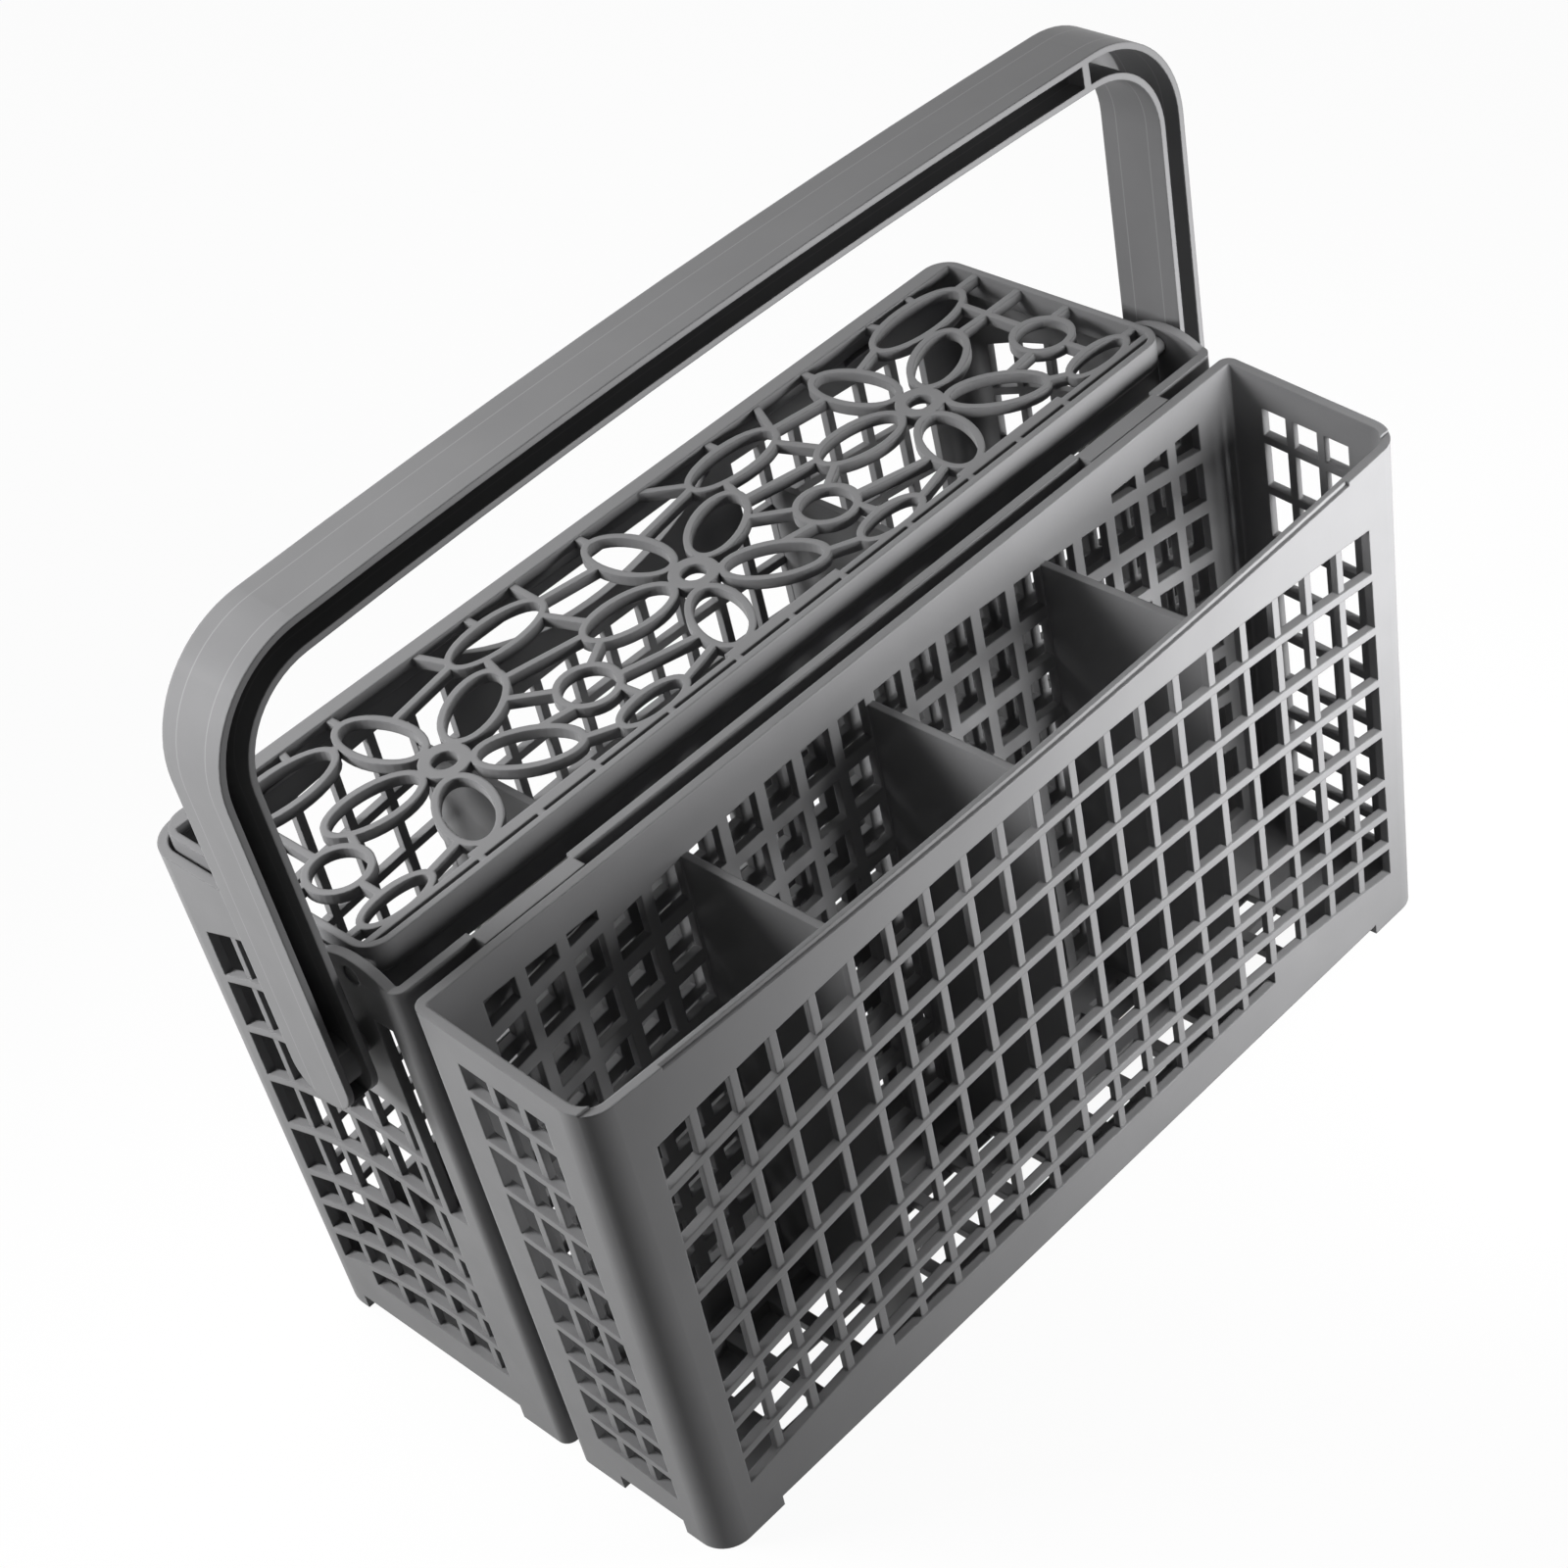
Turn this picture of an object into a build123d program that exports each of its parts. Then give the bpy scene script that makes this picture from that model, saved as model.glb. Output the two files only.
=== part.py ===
from build123d import *
import math
import os

# Overall sizes in millimetres, Z up from the surface the basket stands on, front wall towards -Y
LENGTH = 240.0            # over both end walls at the rim
HEIGHT = 134.0            # rim of the back half and of the walls between the halves
FRONT_DEPTH = 46.5        # front half at its rim
BACK_DEPTH = 80.0         # back half at its rim
HALF_GAP = 3.5            # space between the two halves
WALL = 2.2
END_DRAFT = 3.0           # each end wall leans in by this from rim to foot
SIDE_DRAFT = 2.5          # front and back walls lean in by this
FRONT_CORNER = 6.8        # upright corners of the front half at its front
BACK_CORNER = 9.0         # upright corners of the back half at its back
MID_CORNER = 0.6          # inner radius of the upright corners where the halves meet
FLOOR = 2.4
FOOT = 4.0
FOOT_RUN = 14.0           # feet along the end walls
FOOT_LONG = 17.0          # feet along the long walls
FOOT_NOTCH = 2.7          # the long walls rise this much between their feet

# Front rim: falls towards the front and dips along its length
RIM_FALL = 4.5
RIM_DIP = 3.0
RIM_STEP = 0.9            # ledge along the outside of the front rim
RIM_STEP_END = 19.0       # the ledge stops this far from each end

# Window grid of the long walls
COLUMN_PITCH = 10.75
GRID_MARGIN = 12.5        # solid strip at each end of a long wall
COLUMN_BAR = 2.0
ROW_BAR = 2.0
BAR_RECESS = 0.6          # upright bars lie this far behind the wall face
BASE_STRIP = 10.0         # solid strip under the lowest windows
SLIT = 6.5                # lowest row, where the lowest bar leaves room for it
LEAST_SLIT = 2.6
SHORT_PITCH = 9.5
SHORT_ROWS = 3
TALL_PITCH = 14.6
ROW_SAG = 8.6             # bars are this much lower at the ends of the wall
TOP_SAG = 6.2
FRONT_BAND = 7.8          # solid band over the windows, in the middle of the front wall
BACK_BAND = 9.0
LEAST_ROW = 4.0

# Walls between the halves
MID_BAR = 2.8
MID_ROW_BAR = 3.4
MID_BAND = 9.0            # straight solid band over the windows
MID_PITCH = 13.5
MID_SAG = 9.5             # bars are this much lower at the ends of the wall
MID_TOP_BAR = 1.0         # lower edge of the highest bar under the band, in the middle of the wall
MID_LEAST = 1.6

# End wall windows
FRONT_END_MARGIN = 10.5   # solid strip next to the other half
FRONT_END_EDGE = 11.0     # solid strip at the front corner
FRONT_END_PITCH = 8.3
FRONT_END_FALL = 2.4
FRONT_END_TALL = 13.4
FRONT_END_BAND = 9.0
BACK_END_MARGIN = 12.5
BACK_END_EDGE = 12.0
BACK_END_PITCH = 10.1
BACK_END_PEAK = 28.0      # highest point of the arched bars, from the wall between the halves
BACK_END_SAG = 8.5
BACK_END_BAND = 10.0
BACK_END_RISE = 2.5       # the bars start this much higher than on the long walls

# Cross walls
DIVIDER = 1.8
FRONT_DIVIDER_DROP = 12.0
BACK_DIVIDER_DROP = 21.0
DIVIDER_COLUMNS = 5       # columns of windows between two cross walls

# Floor grid
FLOOR_PITCH = 13.0
FLOOR_BAR = 3.0
FLOOR_MARGIN = 20.0
FLOOR_SIDE_MARGIN = 6.5

# Finger opening in the back wall
FINGER_WIDTH = 76.0
FINGER_DROP = 8.0
FINGER_DEPTH = 10.5
FINGER_LAND = 6.0

# Spacer tabs on the wall between the halves
TAB_INSET = 32.5          # middle of a tab from the end of the basket
TAB_WIDTH = 26.0
TAB_HEIGHT = 5.0
TAB_CLEAR = 0.3
TAB_HOLLOW = 1.2          # the rim is set forward by this behind a tab

# Lid
LID_CLEAR = 0.8
LID_RISE = 3.0            # lid top above the rim
LID_SKIRT = 6.5
LID_WALL = 1.7
LID_BACK_STRIP = 4.0      # flat strip along the back of the lid
LID_FRONT_GAP = 8.0       # finger gap to the wall between the halves
FLANGE_SETBACK = 3.0      # deep flange behind the lid's front face
FLANGE_DEPTH = 14.5
LEDGE_REACH = 3.0         # ledges of the back wall reach this far under the lid
LEDGE_WIDTH = 10.0
PIN_RADIUS = 2.0
PIN_CLEAR = 0.3
HINGE_SETBACK = 3.7       # hinge axis behind the lid's front face
HINGE_DROP = 1.5          # hinge axis under the rim
EAR_HALF = 10.0
EAR_RISE = 3.0

# Lid lattice: flowers of petal loops, with loops and ribs between them
RIB = 1.7
RIB_DEPTH = 2.4
RIB_SUNK = 0.4
OVAL_SIDES = 36           # flat sides of each loop
FLOWER_PITCH = 70.5
FLOWER_SHIFT = 2.0        # flowers lie this far in front of the middle of the lid
PETALS = 5
PETAL_TURN = 28.0
PETAL_REACH = 17.0
PETAL_LENGTH = 24.0
PETAL_WIDTH = 13.6
EYE_RADIUS = 5.6
EYE_HOLE = 2.8

# Loops as place, length and width, from the middle of a gap or from an end of the lid
GAP_LOOPS = [(-1.5, 22.0, 27.0, 13.0), (-3.0, -8.0, 15.0, 15.0), (0.5, -23.5, 19.0, 10.0)]
END_LOOPS = [(22.0, 22.8, 29.4, 14.0), (13.0, -6.5, 15.0, 15.0), (13.7, -23.2, 19.0, 9.5)]

# Ribs to the back strip, as place on the strip and end point on a loop
LEFT_GAP_BACK = [(-16.7, (-13.2, 22.0)), (-1.7, (-1.7, 27.5)), (11.7, (11.0, 22.0))]
RIGHT_GAP_BACK = [(-22.7, (-12.0, 22.0)), (-0.3, (-0.3, 27.5)), (16.7, (11.0, 22.0))]
FLOWER_BACK = [(-4.5, (-4.5, 27.0))]
END_BACK = [(30.0, (28.5, 27.5)), (16.0, (17.0, 28.5))]

# Ribs from a flower to the loops on its right and on its left: point at the flower, point in the gap
RIGHT_RIBS = [((-1.0, 18.5), (-14.0, 22.3)), ((18.5, 5.5), (-7.8, -3.5)), ((15.5, -8.5), (-9.8, -10.5)),
              ((18.0, -18.0), (-8.0, -23.0)), ((24.5, 9.5), (-8.7, 17.0))]
LEFT_RIBS = [((-3.0, 18.7), (11.2, 22.3)), ((-23.0, 6.0), (8.2, 17.5)), ((-24.0, 2.0), (2.5, -3.0)),
             ((-10.0, -17.5), (3.6, -11.0)), ((-11.0, -20.0), (9.0, -24.0))]
FLOWER_RIB = ((24.0, 9.5), (-27.0, 5.0))
GAP_RIB = ((0.5, -14.5), (1.0, -19.5))

# Ribs at the ends: among the end loops, to the end strip, and from the outer flowers
END_RIBS = [((12.5, 17.5), (12.5, 0.0)), ((13.0, -13.0), (13.0, -20.0))]
END_STRIP_RIBS = [(8.5, 23.4), (12.5, 10.4), (6.5, -4.0), (5.5, -23.0)]
LEFT_END_RIBS = [((-3.5, 20.0), (35.5, 23.3)), ((-24.0, 3.0), (19.5, -4.5)), ((-10.0, -20.0), (21.5, -23.0))]
RIGHT_END_RIBS = [((0.0, 20.0), (35.5, 23.3)), ((22.0, 11.0), (12.5, 10.4)), ((16.0, -10.0), (19.0, -9.0)),
                  ((18.0, -17.0), (21.5, -22.5))]

# Foot bar and posts in front of each flower
FOOT_BAR_HALF = 16.0
FOOT_BAR_DROP = 26.3
POSTS = (-15.5, 0.0, 15.5)
GAP_POST = 0.5

# Handle
LID_PASS = 5.0            # room for the lid to swing up under the handle
HANDLE_CROWN = 3.8
TIP_DROP = 31.0           # tips of the arms under the rim
HANDLE_CLEAR = 2.5        # arms stand this far off the rim
HANDLE_SPREAD = 3.4       # arms stand this much wider at the top
HANDLE_CORNER = 26.0
HANDLE_WIDTH = 16.6
HANDLE_SECTION = 7.5
HANDLE_BAND = 1.4
HANDLE_WEB = 2.2          # at the back of the handle, which is hollow towards the front
HANDLE_TIP_ROUND = 8.0
HANDLE_RIB = 2.0          # cross rib in the hollow of the handle, near its right corner
HANDLE_RIB_INSET = 25.2
HANDLE_BACK = 20.3        # middle of the handle behind the wall between the halves
PIVOT_RISE = 9.0
PIVOT_RADIUS = 3.0
PIVOT_CLEAR = 0.3
PIVOT_DEPTH = 4.6
BOSS_RADIUS = 5.6
PAD_HALF = 9.3            # solid field of the end wall behind each arm
PAD_BELOW = 6.0

# Slot in each end wall of the back half
SLOT_WIDTH = 5.4
SLOT_PLACE = 6.0
SLOT_DROP = 12.0
SLOT_LENGTH = 55.0

PAST = 1.0                # cutters run this far past a face
DEPTH = FRONT_DEPTH + HALF_GAP + BACK_DEPTH
FRONT_Y = -DEPTH / 2
FRONT_MID_Y = FRONT_Y + FRONT_DEPTH
BACK_MID_Y = FRONT_MID_Y + HALF_GAP
BACK_Y = DEPTH / 2
COLUMNS = round((LENGTH - 2 * GRID_MARGIN) / COLUMN_PITCH)
GRID_HALF = COLUMN_PITCH * COLUMNS / 2
DIVIDER_PITCH = DIVIDER_COLUMNS * COLUMN_PITCH
LID_TOP = HEIGHT + LID_RISE
LID_HALF = LENGTH / 2 - WALL - LID_CLEAR
LID_FRONT = BACK_MID_Y + WALL + LID_FRONT_GAP
LID_BACK = BACK_Y - WALL - LID_CLEAR
LID_CORNER = BACK_CORNER - WALL - LID_CLEAR
HINGE_Y = LID_FRONT + HINGE_SETBACK
HINGE_Z = HEIGHT - HINGE_DROP
LID_SWING = math.hypot(LID_BACK - HINGE_Y, LID_TOP - HINGE_Z)
HANDLE_Y = BACK_MID_Y + HANDLE_BACK
HANDLE_TIP = HEIGHT - TIP_DROP
HANDLE_TOP = HINGE_Z + LID_SWING + LID_PASS + HANDLE_SECTION + HANDLE_CROWN
HANDLE_REACH = LENGTH / 2 + HANDLE_CLEAR + HANDLE_SECTION
PIVOT_Z = HANDLE_TIP + PIVOT_RISE


def end_x(z, inset=0.0):
    """Outside of an end wall at a height."""
    return LENGTH / 2 - END_DRAFT * (1 - z / HEIGHT) - inset


def arm_outer(z):
    """Outside of a handle arm at a height."""
    return HANDLE_REACH + HANDLE_SPREAD * (z - HANDLE_TIP) / (HANDLE_TOP - HANDLE_TIP)


def prism(points, run):
    """Straight prism from a flat polygon, along the vector run."""
    face = Face(Wire.make_polygon([Vector(*p) for p in points]))
    return extrude(face, amount=Vector(*run).length, dir=run)


def x_rod(radius, y, z, x_from, x_to):
    """Round bar along X."""
    return Pos((x_from + x_to) / 2, y, z) * Cylinder(radius, abs(x_to - x_from), rotation=(0, 90, 0))


def upright_edges(block, low, high, y):
    """Upright edges of a block that lie near a wall at y."""
    upright = block.edges().filter_by_position(Axis.Z, low, high, inclusive=(False, False))
    return [e for e in upright if abs(e.center().Y - y) < SIDE_DRAFT + WALL + PAST]


def half_block(mid_y, rim_y, corner, low, high, inset):
    """Leaning block of one half, pulled in by inset on its four sides."""
    side = math.copysign(1, rim_y - mid_y)
    near = mid_y + side * inset

    def far(z):
        return rim_y - side * (SIDE_DRAFT * (1 - z / HEIGHT) + inset)

    low_x = end_x(low, inset)
    high_x = end_x(high, inset)
    front_view = [(-low_x, low), (low_x, low), (high_x, high), (-high_x, high)]
    end_view = [(near, low), (far(low), low), (far(high), high), (near, high)]
    along_y = prism([(x, -DEPTH, z) for x, z in front_view], (0, 2 * DEPTH, 0))
    along_x = prism([(-LENGTH, y, z) for y, z in end_view], (2 * LENGTH, 0, 0))
    block = along_y & along_x
    block = fillet(upright_edges(block, low, high, rim_y), corner - inset)
    return fillet(upright_edges(block, low, high, mid_y), MID_CORNER + WALL - inset)


def half_shell(mid_y, rim_y, corner):
    """Open box of one half, on its four feet."""
    outside = half_block(mid_y, rim_y, corner, 0, HEIGHT, 0)
    inside = half_block(mid_y, rim_y, corner, FOOT + FLOOR, HEIGHT + PAST, WALL)
    middle = Pos(0, (mid_y + rim_y) / 2, 0)
    along = middle * Box(2 * (end_x(0) - FOOT_LONG), DEPTH, 2 * FOOT_NOTCH)
    across = middle * Box(2 * LENGTH, abs(rim_y - mid_y) - 2 * FOOT_RUN, 2 * FOOT)
    return outside - inside - along - across


def wall_cuts(plane, outlines, depth):
    """Prisms into a wall, from its outer face down to a depth."""
    outer = plane.offset(PAST)
    faces = [outer * Face(Wire.make_polygon([Vector(u, v, 0) for u, v in points])) for points in outlines]
    return [extrude(face, amount=-(depth + PAST)) for face in faces]


def both_ends(shapes):
    return shapes + [mirror(shape, about=Plane.YZ) for shape in shapes]


def level_line(level):
    return lambda u: level


def sagged(level, sag, half, peak=0.0):
    """Height of an arched bar along the wall, highest at peak."""
    return lambda u: level - sag * ((u - peak) / half) ** 2


def bar_levels(first, tall_pitch, top):
    """Lower edges of the bars, short rows below and tall rows above."""
    levels = [first + i * SHORT_PITCH for i in range(SHORT_ROWS + 1)]
    while levels[-1] + tall_pitch + LEAST_ROW < top:
        levels.append(levels[-1] + tall_pitch)
    return levels


def rows_over(levels, top, shape, top_shape):
    """Lower and upper edge of each row of windows over the lowest bar."""
    lows = [shape(level + ROW_BAR) for level in levels]
    highs = [shape(level) for level in levels[1:]] + [top_shape(top)]
    return list(zip(lows, highs))


def columns(start, pitch, count, bar):
    """Clear span of each column of windows."""
    return [(start + i * pitch + bar / 2, start + (i + 1) * pitch - bar / 2) for i in range(count)]


def window(span, low, high):
    left, right = span
    return [(left, low(left)), (right, low(right)), (right, high(right)), (left, high(left))]


def row_recess(spans, low, high):
    """One shallow field over all columns of a row, so that its upright bars lie back."""
    places = [u for span in spans for u in span]
    return [(u, low(u)) for u in places] + [(u, high(u)) for u in reversed(places)]


def slit_row(spans, lowest):
    """Slits under the lowest bar, in the columns where it is high enough."""
    strip = FOOT + BASE_STRIP
    room = [s for s in spans if min(lowest(s[0]), lowest(s[1])) > strip + LEAST_SLIT]
    return room, level_line(strip), lowest


def long_wall_rows(top):
    """Columns and rows of an arched long wall, and the slits under its lowest bar."""
    spans = columns(-GRID_HALF, COLUMN_PITCH, COLUMNS, COLUMN_BAR)
    levels = bar_levels(FOOT + BASE_STRIP + SLIT, TALL_PITCH, top)
    rows = rows_over(
        levels, top,
        lambda z: sagged(z, ROW_SAG, GRID_HALF),
        lambda z: sagged(z, TOP_SAG, GRID_HALF),
    )
    slits = slit_row(spans, sagged(levels[0], ROW_SAG, GRID_HALF))
    return [slits] + [(spans, low, high) for low, high in rows]


def mid_wall_rows():
    """Columns and arched rows of a wall between the halves, under a straight band."""
    spans = columns(-GRID_HALF, COLUMN_PITCH, COLUMNS, MID_BAR)
    top = HEIGHT - MID_BAND
    levels = [top - MID_TOP_BAR]
    while levels[-1] - MID_PITCH - MID_SAG > FOOT + BASE_STRIP + LEAST_SLIT:
        levels.append(levels[-1] - MID_PITCH)
    lows = [sagged(level + MID_ROW_BAR, MID_SAG, GRID_HALF) for level in levels]
    highs = [sagged(level, MID_SAG, GRID_HALF) for level in levels]
    room = [s for s in spans if max(lows[0](s[0]), lows[0](s[1])) + MID_LEAST < top]
    rows = [(spans, low, high) for low, high in zip(lows[1:], highs)]
    return rows + [(room, lows[0], level_line(top)), slit_row(spans, highs[-1])]


def front_end_rows():
    """Columns and rows of the front half's ends, falling slightly towards the front."""
    count = int((FRONT_DEPTH - FRONT_END_MARGIN - FRONT_END_EDGE) / FRONT_END_PITCH)
    spans = columns(FRONT_END_MARGIN - COLUMN_BAR / 2, FRONT_END_PITCH, count, COLUMN_BAR)
    run = FRONT_END_PITCH * count
    top = HEIGHT - FRONT_END_BAND
    levels = bar_levels(FOOT + BASE_STRIP + SLIT, FRONT_END_TALL, top)

    def falling(level):
        return lambda u: level - FRONT_END_FALL * (u - FRONT_END_MARGIN) / run

    slits = [(spans, falling(FOOT + BASE_STRIP), falling(levels[0]))]
    return slits + [(spans, low, high) for low, high in rows_over(levels, top, falling, falling)]


def back_end_rows():
    """Columns and rows of the back half's ends, left out behind the handle arm."""
    first = BACK_END_EDGE - BACK_DEPTH
    count = int((-BACK_END_MARGIN - first) / BACK_END_PITCH)
    spans = columns(first, BACK_END_PITCH, count, COLUMN_BAR)
    last = first + count * BACK_END_PITCH
    if -BACK_END_MARGIN - last > LEAST_ROW:
        spans.append((last + COLUMN_BAR / 2, -BACK_END_MARGIN - COLUMN_BAR / 2))
    top = HEIGHT - BACK_END_BAND
    levels = bar_levels(FOOT + BASE_STRIP + SLIT + BACK_END_RISE, TALL_PITCH, top)

    def arched(level):
        return sagged(level, BACK_END_SAG, -BACK_END_PEAK - first, -BACK_END_PEAK)

    rows = [slit_row(spans, arched(levels[0]))]
    clear = [s for s in spans if s[1] < -HANDLE_BACK - PAD_HALF]
    for low, high in rows_over(levels, top, arched, arched):
        hidden = low(-BACK_END_PEAK) + ROW_BAR > HANDLE_TIP - PAD_BELOW
        rows.append((clear if hidden else spans, low, high))
    return rows


def cut_windows(shell, plane, rows):
    windows = [window(span, low, high) for spans, low, high in rows for span in spans]
    return shell - wall_cuts(plane, windows, WALL + PAST)


def recess_bars(shell, plane, rows):
    return shell - wall_cuts(plane, [row_recess(*row) for row in rows], BAR_RECESS)


def open_ends(shell, mid_y, rows):
    """Windows and recesses of both end walls."""
    plane = Plane(origin=(-end_x(0), mid_y, 0), x_dir=(0, -1, 0), z_dir=(-HEIGHT, 0, -END_DRAFT))
    recesses = wall_cuts(plane, [row_recess(*row) for row in rows], BAR_RECESS)
    windows = [window(span, low, high) for spans, low, high in rows for span in spans]
    return shell - both_ends(recesses) - both_ends(wall_cuts(plane, windows, WALL + PAST))


def open_floor(shell, low_y, high_y):
    """Square openings in a floor."""
    count_x = int((LENGTH - 2 * END_DRAFT - 2 * FLOOR_MARGIN) / FLOOR_PITCH)
    room_y = high_y - low_y - 2 * FLOOR_SIDE_MARGIN
    count_y = int(room_y / FLOOR_PITCH)
    pitch_y = room_y / count_y
    cell = Box(FLOOR_PITCH - FLOOR_BAR, pitch_y - FLOOR_BAR, 2 * (FLOOR + PAST))
    grid = GridLocations(FLOOR_PITCH, pitch_y, count_x, count_y)
    return shell - [Pos(0, (low_y + high_y) / 2, FOOT + FLOOR) * place * cell for place in grid.locations]


def divider(x, mid_y, rim_y, corner, top):
    """Solid cross wall that ends inside the two long walls."""
    low = FOOT + FLOOR / 2
    sheet = Pos(x, (mid_y + rim_y) / 2, (low + top) / 2) * Box(DIVIDER, DEPTH, top - low)
    return sheet & half_block(mid_y, rim_y, corner, 0, HEIGHT, WALL / 2)


def over_dip(level, y_from, y_to):
    """Block over a rim that dips in the middle of its length."""
    half = LENGTH / 2 + PAST
    bow = ThreePointArc((-half, level), (0, level - RIM_DIP), (half, level))
    rest = Polyline((half, level), (half, HEIGHT + PAST), (-half, HEIGHT + PAST), (-half, level))
    face = Plane.XZ * make_face([bow, rest])
    return Pos(0, y_from, 0) * extrude(face, amount=y_to - y_from, dir=(0, 1, 0))


def rim_cuts():
    """Fall of the front half's rim, its dip, and the ledge along its outside."""
    level = HEIGHT - RIM_FALL
    outer = FRONT_Y - PAST
    over = HEIGHT + PAST
    slope = [(FRONT_MID_Y, HEIGHT), (FRONT_Y, level), (outer, level), (outer, over), (FRONT_MID_Y, over)]
    fall = prism([(-LENGTH, y, z) for y, z in slope], (2 * LENGTH, 0, 0))
    dip = over_dip(level, outer, FRONT_Y + WALL + PAST)
    ledge = over_dip(level - RIM_STEP, outer, FRONT_Y + WALL / 2)
    middle = Pos(0, FRONT_Y, HEIGHT) * Box(LENGTH - 2 * RIM_STEP_END, DEPTH, HEIGHT)
    return [fall, dip, ledge & middle]


def make_front_half():
    shell = half_shell(FRONT_MID_Y, FRONT_Y, FRONT_CORNER) - rim_cuts()
    face = Plane(origin=(0, FRONT_Y + SIDE_DRAFT, 0), x_dir=(1, 0, 0), z_dir=(0, -HEIGHT, -SIDE_DRAFT))
    rows = long_wall_rows(HEIGHT - RIM_FALL - RIM_DIP - FRONT_BAND)
    shell = cut_windows(recess_bars(shell, face, rows), face, rows)
    shell = open_ends(shell, FRONT_MID_Y, front_end_rows())
    mid_face = Plane(origin=(0, FRONT_MID_Y, 0), x_dir=(-1, 0, 0), z_dir=(0, 1, 0))
    shell = cut_windows(shell, mid_face, mid_wall_rows())
    shell = open_floor(shell, FRONT_Y + SIDE_DRAFT, FRONT_MID_Y)
    top = HEIGHT - FRONT_DIVIDER_DROP
    return shell + [divider(i * DIVIDER_PITCH, FRONT_MID_Y, FRONT_Y, FRONT_CORNER, top) for i in (-1, 0, 1)]


def finger_cut():
    """Opening in the back wall with a straight top and a bowed lower edge."""
    half = FINGER_WIDTH / 2
    top = HEIGHT - FINGER_DROP
    bow = ThreePointArc((-half, top), (0, top - FINGER_DEPTH), (half, top))
    face = Plane.XZ * make_face([bow, Line((half, top), (-half, top))])
    return Pos(0, BACK_Y + PAST, 0) * extrude(face, amount=WALL + SIDE_DRAFT + 2 * PAST, dir=(0, -1, 0))


def end_ear(side):
    """Raised ear of an end wall around the lid pin."""
    front = BACK_MID_Y + WALL + MID_CORNER
    back = front + 2 * EAR_HALF
    bow = ThreePointArc((front, HEIGHT), ((front + back) / 2, HEIGHT + EAR_RISE), (back, HEIGHT))
    base = Polyline((back, HEIGHT), (back, HEIGHT - WALL), (front, HEIGHT - WALL), (front, HEIGHT))
    face = Plane.YZ * make_face([bow, base])
    return Pos(side * LENGTH / 2, 0, 0) * extrude(face, amount=WALL, dir=(-side, 0, 0))


def spacer_tab(x):
    """Raised field of the wall between the halves that keeps the front half in place."""
    reach = HALF_GAP - TAB_CLEAR + WALL / 2
    place = Pos(x, BACK_MID_Y + WALL / 2 - reach / 2, HEIGHT - TAB_HEIGHT / 2)
    return place * Box(TAB_WIDTH, reach, TAB_HEIGHT)


def tab_hollow(x):
    """Cut behind a tab that sets the rim forward."""
    place = Pos(x, BACK_MID_Y + WALL, HEIGHT)
    return place * Box(TAB_WIDTH, 2 * TAB_HOLLOW, 2 * TAB_HEIGHT)


def handle_stud(side):
    """Round stud of an end wall that the handle turns on."""
    tip = arm_outer(PIVOT_Z) - HANDLE_SECTION + PIVOT_DEPTH - PIVOT_CLEAR
    return x_rod(PIVOT_RADIUS, HANDLE_Y, PIVOT_Z, side * end_x(PIVOT_Z, WALL / 2), side * tip)


def lid_ledge(x):
    """Small wedge on the back wall under the closed lid."""
    top = LID_TOP - LID_SKIRT - PIN_CLEAR
    outer = BACK_Y - WALL / 2
    inner = LID_BACK - LEDGE_REACH
    left = x - LEDGE_WIDTH / 2
    wedge = [(left, inner, top), (left, outer, top), (left, outer, top + inner - outer)]
    return prism(wedge, (LEDGE_WIDTH, 0, 0))


def make_back_half():
    shell = half_shell(BACK_MID_Y, BACK_Y, BACK_CORNER)
    face = Plane(origin=(0, BACK_Y - SIDE_DRAFT, 0), x_dir=(-1, 0, 0), z_dir=(0, HEIGHT, -SIDE_DRAFT))
    land = HEIGHT - FINGER_DROP - FINGER_DEPTH - FINGER_LAND
    rows = []
    for spans, low, high in long_wall_rows(HEIGHT - BACK_BAND):
        sides = [s for s in spans if high(s[0]) < land or min(abs(s[0]), abs(s[1])) > FINGER_WIDTH / 2]
        rows.append((sides, low, high))
    shell = cut_windows(shell, face, rows) - finger_cut()
    shell = open_ends(shell, BACK_MID_Y, back_end_rows())
    slot_y = BACK_MID_Y + SLOT_PLACE + SLOT_WIDTH / 2
    slot_z = HEIGHT - SLOT_DROP - SLOT_LENGTH / 2
    shell = shell - Pos(0, slot_y, slot_z) * Box(2 * LENGTH, SLOT_WIDTH, SLOT_LENGTH)
    mid_face = Plane(origin=(0, BACK_MID_Y, 0), x_dir=(1, 0, 0), z_dir=(0, -1, 0))
    shell = cut_windows(shell, mid_face, mid_wall_rows())
    shell = open_floor(shell, BACK_MID_Y, BACK_Y - SIDE_DRAFT)
    top = HEIGHT - BACK_DIVIDER_DROP
    tab_x = LENGTH / 2 - TAB_INSET
    added = []
    cuts = [x_rod(PIN_RADIUS + PIN_CLEAR, HINGE_Y, HINGE_Z, -LENGTH, LENGTH)]
    for side in (-1, 1):
        added.append(divider(side * DIVIDER_PITCH, BACK_MID_Y, BACK_Y, BACK_CORNER, top))
        added += [end_ear(side), handle_stud(side), spacer_tab(side * tab_x), lid_ledge(side * tab_x)]
        cuts.append(tab_hollow(side * tab_x))
    return shell + added - cuts


def oval(half_length, half_width):
    """Many-sided oval around the origin."""
    turns = [2 * math.pi * i / OVAL_SIDES for i in range(OVAL_SIDES)]
    points = [(half_length * math.cos(turn), half_width * math.sin(turn)) for turn in turns]
    return make_face(Polyline(*points, close=True))


def loop(x, y, length, width, turn=0.0):
    """Outer and inner outline of an oval loop."""
    place = Pos(x, y) * Rot(0, 0, turn)
    return place * oval(length / 2, width / 2), place * oval(length / 2 - RIB, width / 2 - RIB)


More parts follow.
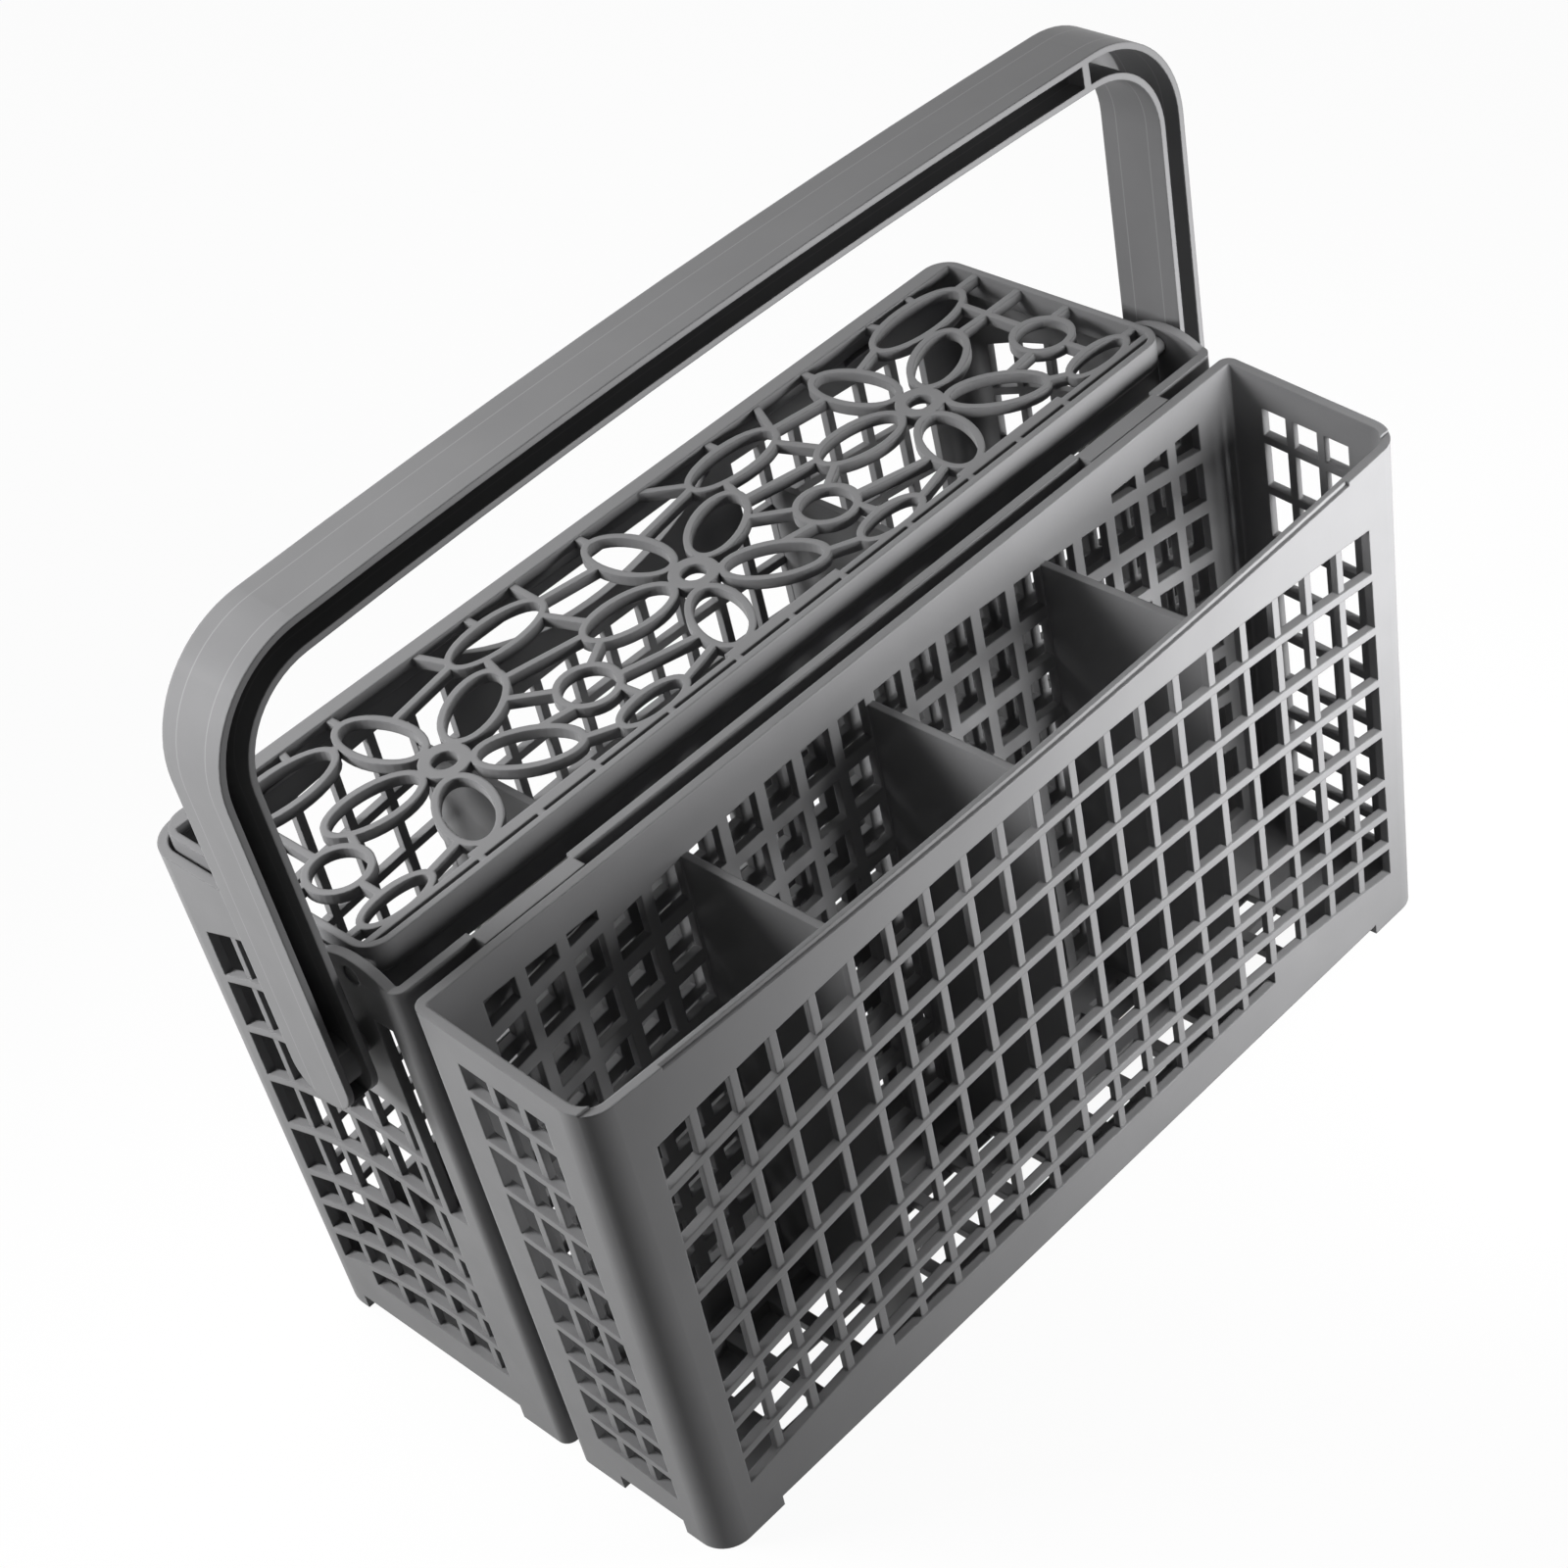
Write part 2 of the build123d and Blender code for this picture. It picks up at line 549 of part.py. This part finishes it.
def flower(x, y):
    """Five petal loops around an eyelet."""
    place = Pos(x, y)
    loops = [(place * oval(EYE_RADIUS, EYE_RADIUS), place * oval(EYE_HOLE, EYE_HOLE))]
    for i in range(PETALS):
        turn = PETAL_TURN + i * 360 / PETALS
        place = Pos(x, y) * Rot(0, 0, turn) * Pos(PETAL_REACH, 0)
        loops.append(loop(place.position.X, place.position.Y, PETAL_LENGTH, PETAL_WIDTH, turn))
    return loops


def rib(start, end):
    """Straight rib between two points."""
    run = Vector(*end) - Vector(*start)
    middle = (Vector(*start) + Vector(*end)) * 0.5
    turn = math.degrees(math.atan2(run.Y, run.X))
    return Pos(middle.X, middle.Y) * Rot(0, 0, turn) * Rectangle(run.length + RIB / 2, RIB)


def shifted(point, x, y, side=1):
    return x + side * point[0], y + point[1]


def gap_lattice(x, y, back_ribs):
    """Loops and ribs between two flowers, around the middle of the gap."""
    left = x - FLOWER_PITCH / 2
    right = x + FLOWER_PITCH / 2
    loops = [loop(x + dx, y + dy, length, width) for dx, dy, length, width in GAP_LOOPS]
    ribs = [rib((x + dx, LID_BACK - LID_WALL), shifted(end, x, y)) for dx, end in back_ribs]
    ribs += [rib(shifted(petal, left, y), shifted(end, x, y)) for petal, end in RIGHT_RIBS]
    ribs += [rib(shifted(petal, right, y), shifted(end, x, y)) for petal, end in LEFT_RIBS]
    ribs.append(rib(shifted(FLOWER_RIB[0], left, y), shifted(FLOWER_RIB[1], right, y)))
    ribs.append(rib(shifted(GAP_RIB[0], x, y), shifted(GAP_RIB[1], x, y)))
    _, low_y, _, low_width = GAP_LOOPS[-1]
    post_top = y + low_y - low_width / 2 + RIB / 2
    ribs.append(rib((x + GAP_POST, post_top), (x + GAP_POST, LID_FRONT + LID_WALL)))
    return loops, ribs


def end_lattice(side, y, flower_ribs):
    """Loops and ribs at one end of the lid."""
    end = side * LID_HALF
    loops = [loop(end - side * dx, y + dy, length, width) for dx, dy, length, width in END_LOOPS]
    ribs = [rib((end - side * dx, LID_BACK - LID_WALL), shifted(to, end, y, -side)) for dx, to in END_BACK]
    ribs += [rib(shifted(a, end, y, -side), shifted(b, end, y, -side)) for a, b in END_RIBS]
    ribs += [rib(shifted(a, end, y, -side), (end - side * LID_WALL, y + a[1])) for a in END_STRIP_RIBS]
    ribs += [rib(shifted(a, side * FLOWER_PITCH, y), shifted(b, end, y, -side)) for a, b in flower_ribs]
    return loops, ribs


def flower_ribs(x, y):
    """Rib behind a flower, foot bar and posts in front of it."""
    bar_y = y - FOOT_BAR_DROP
    ribs = [rib((x + dx, LID_BACK - LID_WALL), shifted(end, x, y)) for dx, end in FLOWER_BACK]
    ribs.append(rib((x - FOOT_BAR_HALF, bar_y), (x + FOOT_BAR_HALF, bar_y)))
    return ribs + [rib((x + dx, bar_y), (x + dx, LID_FRONT + LID_WALL)) for dx in POSTS]


def lid_lattice(inside):
    """Flat lattice of the lid, kept inside its frame."""
    y = (LID_FRONT + LID_BACK) / 2 - FLOWER_SHIFT
    groups = [
        gap_lattice(-FLOWER_PITCH / 2, y, LEFT_GAP_BACK),
        gap_lattice(FLOWER_PITCH / 2, y, RIGHT_GAP_BACK),
        end_lattice(-1, y, LEFT_END_RIBS),
        end_lattice(1, y, RIGHT_END_RIBS),
    ]
    groups += [(flower(i * FLOWER_PITCH, y), flower_ribs(i * FLOWER_PITCH, y)) for i in (-1, 0, 1)]
    outers = [outer for loops, _ in groups for outer, _ in loops]
    holes = [hole for loops, _ in groups for _, hole in loops]
    ribs = [one for _, group in groups for one in group]
    return (Sketch() + outers + ribs - holes) & inside


def make_lid():
    middle = Pos(0, (LID_FRONT + LID_BACK) / 2)
    depth = LID_BACK - LID_FRONT
    outline = middle * RectangleRounded(2 * LID_HALF, depth, LID_CORNER)
    inner_half = LID_HALF - LID_WALL
    inside = middle * RectangleRounded(2 * inner_half, depth - 2 * LID_WALL, LID_CORNER - LID_WALL)
    strip = inside & Pos(0, LID_BACK) * Rectangle(2 * LENGTH, 2 * LID_BACK_STRIP)
    flange_y = LID_FRONT + FLANGE_SETBACK + LID_WALL / 2
    flange_face = outline & Pos(0, flange_y) * Rectangle(2 * LENGTH, LID_WALL)
    flange_depth = FLANGE_DEPTH - RIB_SUNK
    skirt = Pos(0, 0, LID_TOP - LID_SKIRT) * extrude(outline - inside, amount=LID_SKIRT)
    flange = Pos(0, 0, LID_TOP - FLANGE_DEPTH) * extrude(flange_face, amount=flange_depth)
    edge = Pos(0, 0, LID_TOP - RIB_DEPTH) * extrude(strip, amount=RIB_DEPTH)
    ribs = Pos(0, 0, LID_TOP - RIB_SUNK - RIB_DEPTH) * extrude(lid_lattice(outline), amount=RIB_DEPTH)
    tip = LENGTH / 2 - PIN_CLEAR
    pins = [x_rod(PIN_RADIUS, HINGE_Y, HINGE_Z, side * inner_half, side * tip) for side in (-1, 1)]
    return skirt + flange + edge + ribs + pins


def handle_outline(inset):
    """Area under the handle's outer line, pulled in by inset."""
    low = HANDLE_TIP - PAST
    top = HANDLE_TOP - HANDLE_CROWN - inset
    foot_x = arm_outer(low) - inset
    top_x = arm_outer(top) - inset
    sides = Polyline((-top_x, top), (-foot_x, low), (foot_x, low), (top_x, top))
    crown = ThreePointArc((top_x, top), (0, top + HANDLE_CROWN), (-top_x, top))
    face = make_face([sides, crown])
    return Plane.XZ * fillet(face.vertices().sort_by(Axis.Y)[-2:], HANDLE_CORNER - inset)


def make_handle():
    bow = extrude(handle_outline(0) - handle_outline(HANDLE_SECTION), amount=HANDLE_WIDTH / 2, both=True)
    height = 2 * (HANDLE_TOP - HANDLE_TIP)
    tips = Plane.YZ * Pos(0, HANDLE_TOP) * RectangleRounded(HANDLE_WIDTH, height, HANDLE_TIP_ROUND)
    bow = bow & extrude(tips, amount=LENGTH, both=True)
    between_bands = handle_outline(HANDLE_BAND) - handle_outline(HANDLE_SECTION - HANDLE_BAND)
    channel = extrude(between_bands, amount=HANDLE_WIDTH, both=True)
    web = Pos(0, HANDLE_WIDTH, HANDLE_TOP) * Box(2 * LENGTH, HANDLE_WIDTH + 2 * HANDLE_WEB, 2 * HANDLE_TOP)
    channel = channel - web
    channel = channel - Pos(0, 0, HANDLE_TIP) * Box(2 * LENGTH, 3 * HANDLE_WIDTH, 2 * HANDLE_BAND)
    channel = channel - x_rod(BOSS_RADIUS, 0, PIVOT_Z, -LENGTH, LENGTH)
    rib_x = HANDLE_REACH - HANDLE_RIB_INSET
    channel = channel - Pos(rib_x, 0, HANDLE_TOP) * Box(HANDLE_RIB, HANDLE_WIDTH, HANDLE_CORNER)
    bow = bow - channel
    hole_end = arm_outer(PIVOT_Z) - HANDLE_SECTION + PIVOT_DEPTH
    return Pos(0, HANDLE_Y, 0) * (bow - x_rod(PIVOT_RADIUS + PIVOT_CLEAR, 0, PIVOT_Z, -hole_end, hole_end))


PARTS = {
    "front_half": make_front_half,
    "back_half": make_back_half,
    "lid": make_lid,
    "handle": make_handle,
}

os.makedirs("parts", exist_ok=True)
for name, make in PARTS.items():
    export_step(make(), os.path.join("parts", name + ".step"))
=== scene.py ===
import math

import bpy
from mathutils import Matrix, Vector


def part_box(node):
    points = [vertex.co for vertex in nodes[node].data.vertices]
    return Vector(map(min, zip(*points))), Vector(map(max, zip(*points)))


# Camera: place in metres, axes, and focal length in pixels of a 1600 pixel wide image
CAMERA_PLACE = (-0.33294, -0.42052, 0.52988)
CAMERA_RIGHT = (0.68397, -0.70752, -0.17779)
CAMERA_UP = (0.55611, 0.34794, 0.75477)
FOCAL_PIXELS = 3350.0
IMAGE_PIXELS = 1600.0
SENSOR_MM = 36.0
CLIP_START = 0.01

# Colours are linear
GREY = (0.150, 0.150, 0.153, 1.0)
GREY_LIGHT = (0.180, 0.180, 0.183, 1.0)
# lighter grey of the handle's mould lines: a painted highlight on their ridges
MOULD_LINE_HIGHLIGHT = (0.22, 0.22, 0.223, 1.0)
FLOOR_WHITE = (0.85, 0.85, 0.85, 1.0)
FLOOR_BOUNCE = (0.25, 0.25, 0.25, 1.0)
WHITE = (1.0, 1.0, 1.0, 1.0)

# Plastic: gloss, and a skin that is uneven in tone, in roughness and in a fine grain
GLOSS = 0.20              # level of the mirror-like share
ROUGH = 0.42
ROUGH_SPREAD = 0.06
GRAIN_STRENGTH = 0.06
GRAIN_HEIGHT = 0.0002
TONE_SCALE = 60.0
ROUGH_SCALE = 90.0
GRAIN_SCALE = 1500.0
NOISE_DETAIL = 3.0

# Softened edges: radius on each piece, and samples
HANDLE_EDGE = 0.0006
LID_EDGE = 0.0007
WALL_EDGE = 0.0006
EDGE_SAMPLES = 4

# Painted highlight along the handle's two mould-line ridges: distance from the middle of its
# width, and width
LINE_PLACE = 0.0042
LINE_WIDTH = 0.0003

# Surroundings
FLOOR_SIZE = 6.0
FLOOR_DROP = 0.0002       # the floor lies this far under the feet
FLOOR_GLOW = 0.95         # share of the floor that is plain white where it is seen
AMBIENT = 0.04            # level of the even light on the object

# Lamps: name, place, aim, size, spread in degrees, power, and whether glossy surfaces mirror it
LAMPS = (
    ("right_softbox", (0.14, -0.28, 0.14), (0.11, -0.06, 0.115), 0.14, 105.0, 0.85, True),
    ("left_softbox", (-0.40, 0.28, 0.34), (-0.12, 0.0, 0.17), 0.22, 75.0, 0.95, False),
    ("top_softbox", (0.05, 0.45, 0.90), (0.0, 0.02, 0.15), 0.60, 180.0, 4.6, True),
)

# Sockets of a colour mix, by number because their names repeat
MIX_SHARE = 0
MIX_FIRST = 6
MIX_SECOND = 7
MIX_RESULT = 2


def node(tree, kind, **values):
    """Shader node with its inputs set by name."""
    made = tree.nodes.new(kind)
    for name, value in values.items():
        made.inputs[name.replace("_", " ")].default_value = value
    return made


def maths(tree, operation, first, second):
    """Math node; each input is a socket or a number."""
    made = tree.nodes.new("ShaderNodeMath")
    made.operation = operation
    for slot, value in zip(made.inputs, (first, second)):
        if isinstance(value, (int, float)):
            slot.default_value = value
        else:
            tree.links.new(value, slot)
    return made.outputs[0]


def noise_range(tree, vector, scale, low, high):
    """Noise over the surface, mapped to a range of values."""
    noise = node(tree, "ShaderNodeTexNoise", Scale=scale, Detail=NOISE_DETAIL)
    tree.links.new(vector, noise.inputs["Vector"])
    spread = node(tree, "ShaderNodeMapRange", To_Min=low, To_Max=high)
    tree.links.new(noise.outputs["Fac"], spread.inputs["Value"])
    return spread.outputs["Result"]


def colour_mix(tree, share, first, second):
    """Mix of two colours by a share; the first is a colour or a socket."""
    mix = tree.nodes.new("ShaderNodeMix")
    mix.data_type = "RGBA"
    if isinstance(first, tuple):
        mix.inputs[MIX_FIRST].default_value = first
    else:
        tree.links.new(first, mix.inputs[MIX_FIRST])
    mix.inputs[MIX_SECOND].default_value = second
    tree.links.new(share, mix.inputs[MIX_SHARE])
    return mix.outputs[MIX_RESULT]


def mould_line_highlight_share(tree, vector, middle):
    """1 on two fine lines along X, at equal distances from the plane y = middle: where the
    handle's mould-line ridges get a painted highlight.
    """
    axes = tree.nodes.new("ShaderNodeSeparateXYZ")
    tree.links.new(vector, axes.inputs[0])
    off = maths(tree, "ABSOLUTE", maths(tree, "SUBTRACT", axes.outputs["Y"], middle), 0.0)
    away = maths(tree, "ABSOLUTE", maths(tree, "SUBTRACT", off, LINE_PLACE), 0.0)
    return maths(tree, "LESS_THAN", away, LINE_WIDTH / 2)


def moulded_plastic(name, edge, highlight_lines_at=None):
    """Satin moulded plastic with soft edges and a faint uneven skin."""
    material = bpy.data.materials.new(name)
    material.use_nodes = True
    tree = material.node_tree
    shader = tree.nodes["Principled BSDF"]
    vector = tree.nodes.new("ShaderNodeTexCoord").outputs["Object"]
    tone = noise_range(tree, vector, TONE_SCALE, 0.0, 1.0)
    colour = colour_mix(tree, tone, GREY, GREY_LIGHT)
    # painted highlight: lighter lines along the mould-line ridges of the handle
    if highlight_lines_at is not None:
        colour = colour_mix(tree, mould_line_highlight_share(tree, vector, highlight_lines_at), colour, MOULD_LINE_HIGHLIGHT)
    tree.links.new(colour, shader.inputs["Base Color"])
    shader.inputs["Specular IOR Level"].default_value = GLOSS
    rough = noise_range(tree, vector, ROUGH_SCALE, ROUGH - ROUGH_SPREAD, ROUGH + ROUGH_SPREAD)
    tree.links.new(rough, shader.inputs["Roughness"])
    soft = node(tree, "ShaderNodeBevel", Radius=edge)
    soft.samples = EDGE_SAMPLES
    bump = node(tree, "ShaderNodeBump", Strength=GRAIN_STRENGTH, Distance=GRAIN_HEIGHT)
    tree.links.new(noise_range(tree, vector, GRAIN_SCALE, 0.0, 1.0), bump.inputs["Height"])
    tree.links.new(soft.outputs["Normal"], bump.inputs["Normal"])
    tree.links.new(bump.outputs["Normal"], shader.inputs["Normal"])
    return material


def dress(obj, material):
    obj.data.materials.clear()
    obj.data.materials.append(material)


def seen(tree):
    """1 for rays of the camera, of reflections and through glass, 0 for rays that carry light."""
    path = tree.nodes.new("ShaderNodeLightPath")
    direct = maths(tree, "MAXIMUM", path.outputs["Is Camera Ray"], path.outputs["Is Glossy Ray"])
    return maths(tree, "MAXIMUM", direct, path.outputs["Is Transmission Ray"])


def floor_material():
    """White floor: white where it is seen, and still shaded by the object."""
    material = bpy.data.materials.new("floor_white")
    material.use_nodes = True
    tree = material.node_tree
    tree.nodes.clear()
    out = tree.nodes.new("ShaderNodeOutputMaterial")
    share = seen(tree)
    diffuse = tree.nodes.new("ShaderNodeBsdfDiffuse")
    tree.links.new(colour_mix(tree, share, FLOOR_BOUNCE, FLOOR_WHITE), diffuse.inputs["Color"])
    glow = node(tree, "ShaderNodeEmission", Color=WHITE, Strength=1.0)
    mix = tree.nodes.new("ShaderNodeMixShader")
    tree.links.new(maths(tree, "MULTIPLY", share, FLOOR_GLOW), mix.inputs["Fac"])
    tree.links.new(diffuse.outputs[0], mix.inputs[1])
    tree.links.new(glow.outputs[0], mix.inputs[2])
    tree.links.new(mix.outputs[0], out.inputs["Surface"])
    return material


def make_floor():
    bpy.ops.mesh.primitive_plane_add(size=FLOOR_SIZE, location=(0, 0, -FLOOR_DROP))
    floor = bpy.context.object
    floor.name = "floor"
    dress(floor, floor_material())


def soft_light(name, place, target, size, spread, power, mirrored):
    """Square soft lamp that is not itself in the picture."""
    data = bpy.data.lights.new(name, "AREA")
    data.size = size
    data.spread = math.radians(spread)
    data.energy = power
    lamp = bpy.data.objects.new(name, data)
    lamp.location = place
    lamp.rotation_euler = (Vector(target) - Vector(place)).to_track_quat("-Z", "Y").to_euler()
    lamp.visible_camera = False
    lamp.visible_glossy = mirrored
    bpy.context.scene.collection.objects.link(lamp)


def make_world():
    """Even grey light, and white where the surroundings are seen."""
    world = bpy.data.worlds.new("studio")
    bpy.context.scene.world = world
    world.use_nodes = True
    tree = world.node_tree
    back = tree.nodes["Background"]
    back.inputs["Color"].default_value = WHITE
    level = node(tree, "ShaderNodeMapRange", To_Min=AMBIENT, To_Max=1.0)
    tree.links.new(seen(tree), level.inputs["Value"])
    tree.links.new(level.outputs["Result"], back.inputs["Strength"])


def make_camera():
    data = bpy.data.cameras.new("camera")
    data.sensor_width = SENSOR_MM
    data.lens = SENSOR_MM * FOCAL_PIXELS / IMAGE_PIXELS
    data.clip_start = CLIP_START
    camera = bpy.data.objects.new("camera", data)
    right = Vector(CAMERA_RIGHT).normalized()
    back = right.cross(Vector(CAMERA_UP)).normalized()
    up = back.cross(right)
    axes = Matrix((right, up, back)).transposed().to_4x4()
    camera.matrix_world = Matrix.Translation(CAMERA_PLACE) @ axes
    bpy.context.scene.collection.objects.link(camera)
    bpy.context.scene.camera = camera


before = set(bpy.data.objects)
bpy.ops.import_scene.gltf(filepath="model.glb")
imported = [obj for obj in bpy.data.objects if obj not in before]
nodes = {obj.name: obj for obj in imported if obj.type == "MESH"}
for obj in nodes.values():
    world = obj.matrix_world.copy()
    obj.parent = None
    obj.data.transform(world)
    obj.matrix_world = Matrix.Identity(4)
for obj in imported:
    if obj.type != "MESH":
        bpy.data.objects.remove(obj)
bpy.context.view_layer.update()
low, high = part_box("handle")
# the handle gets painted highlight lines on its mould-line ridges
dress(nodes["handle"], moulded_plastic("handle_plastic", HANDLE_EDGE, (low[1] + high[1]) / 2))
dress(nodes["lid"], moulded_plastic("lid_plastic", LID_EDGE))
wall_plastic = moulded_plastic("basket_plastic", WALL_EDGE)
for name in ("back_half", "front_half"):
    dress(nodes[name], wall_plastic)
make_floor()
make_world()
for lamp in LAMPS:
    soft_light(*lamp)
make_camera()
bpy.context.scene.view_settings.view_transform = "Standard"
